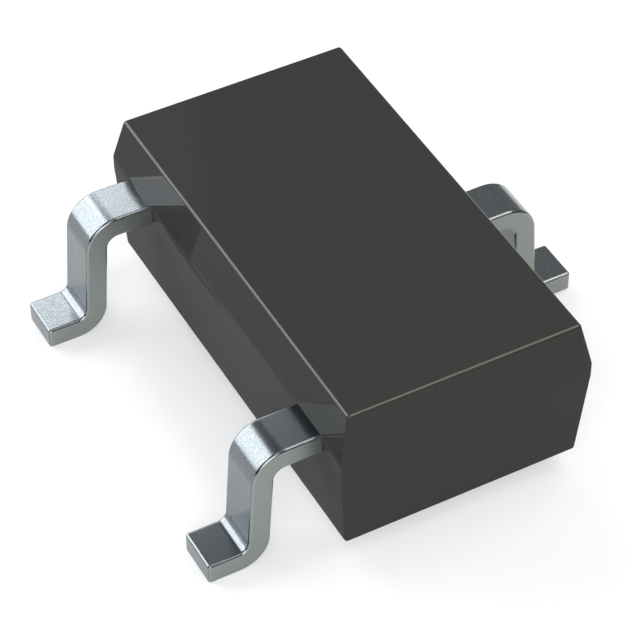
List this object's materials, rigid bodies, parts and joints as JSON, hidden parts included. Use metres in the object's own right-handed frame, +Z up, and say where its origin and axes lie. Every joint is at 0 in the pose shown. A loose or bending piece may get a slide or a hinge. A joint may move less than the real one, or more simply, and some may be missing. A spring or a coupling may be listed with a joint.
{
  "type": "voltage regulator chip",
  "caption": "Small surface-mount voltage regulator: dark moulded body with drafted sides and bent gull-wing leads on both long sides.",
  "frame": {"origin": "middle of the footprint, on the seating plane under the feet", "axes": "+X from the side with two leads to the side with one, +Y along the moulded body towards the ground lead, +Z up, away from the board"},
  "size_m": [0.003, 0.0028, 0.0011],
  "materials": {
    "moulding_compound": "smooth dark epoxy moulding, softly glossy",
    "tinned_lead": "matt tin plate with a fine grain, over copper alloy",
    "silver_epoxy": "silver-filled epoxy",
    "silicon": "sawn and polished silicon",
    "gold": "drawn gold wire"
  },
  "bodies": {
    "root": {"moulded_body": "moulding_compound", "ground_lead": "tinned_lead", "output_lead": "tinned_lead", "input_lead": "tinned_lead", "die_attach": "silver_epoxy", "regulator_die": "silicon", "ground_wire": "gold", "output_wire": "gold", "input_wire": "gold"}
  },
  "joints": []
}
